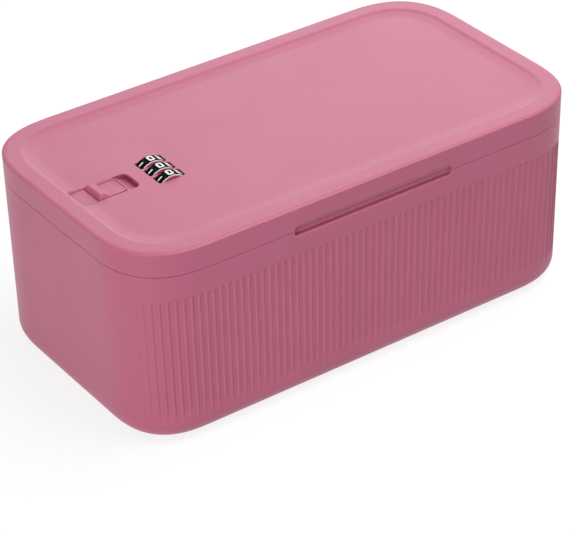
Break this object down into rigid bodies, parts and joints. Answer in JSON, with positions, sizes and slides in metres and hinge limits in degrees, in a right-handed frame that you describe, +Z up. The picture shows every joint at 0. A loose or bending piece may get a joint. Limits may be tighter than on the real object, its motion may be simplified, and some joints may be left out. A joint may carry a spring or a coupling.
{
  "type": "medication lock box",
  "caption": "Lidded plastic box for medicines with fluted soft-cornered walls, a lift-off lid, a sliding latch and number dials that block its bolt.",
  "frame": {"origin": "middle of the underside of the foot ring", "axes": "+X runs along the length toward the catch end, away from the latch; +Y runs from the front, with the finger slot, to the back; +Z is up"},
  "size_m": [0.26, 0.141, 0.1058],
  "materials": {
    "pink_plastic": "fine satin, moulded",
    "dial_plastic": "polished black",
    "lock_plastic": "plain moulded grey",
    "cam_plastic": "plain moulded white",
    "steel": "bright zinc"
  },
  "bodies": {
    "tub": {"box_tub": "pink_plastic", "strike_bracket": "pink_plastic", "catch_bracket": "pink_plastic"},
    "lid": {"lid_shell": "pink_plastic", "rear_tongue": "pink_plastic", "lock_housing": "lock_plastic", "detent_spring": "steel", "reset_spring": "steel", "housing_screw_1": "steel", "housing_screw_2": "steel", "housing_screw_3": "steel", "housing_screw_4": "steel", "tongue_screw_1": "steel", "tongue_screw_2": "steel"},
    "latch": {"slider_button": "pink_plastic", "latch_bolt": "lock_plastic", "slider_screw": "steel"},
    "dial_1": {"number_dial_1": "dial_plastic", "code_cam_1": "cam_plastic"},
    "dial_2": {"number_dial_2": "dial_plastic", "code_cam_2": "cam_plastic"},
    "dial_3": {"number_dial_3": "dial_plastic", "code_cam_3": "cam_plastic"},
    "reset": {"dial_shaft": "steel", "reset_button": "cam_plastic", "shaft_clip": "steel"}
  },
  "joints": [
    {"name": "lid_lift", "type": "slide", "parent": "tub", "child": "lid", "axis": [-0.4226, 0, 0.9063], "range_m": [0, 0.12]},
    {"name": "latch_slide", "type": "slide", "parent": "lid", "child": "latch", "axis": [-1, 0, 0], "range_m": [0, 0.007]},
    {"name": "dial_1_turn", "type": "hinge", "parent": "lid", "child": "dial_1", "pos_m": [-0.0738, 0, 0.0968], "axis": [0, 1, 0], "continuous": true},
    {"name": "dial_2_turn", "type": "hinge", "parent": "lid", "child": "dial_2", "pos_m": [-0.0738, 0, 0.0968], "axis": [0, 1, 0], "continuous": true},
    {"name": "dial_3_turn", "type": "hinge", "parent": "lid", "child": "dial_3", "pos_m": [-0.0738, 0, 0.0968], "axis": [0, 1, 0], "continuous": true},
    {"name": "reset_push", "type": "slide", "parent": "lid", "child": "reset", "axis": [0, 1, 0], "range_m": [0, 0.002], "stiffness_N_per_m": 600, "springref_m": -0.002, "deforming": ["reset_spring"]}
  ]
}
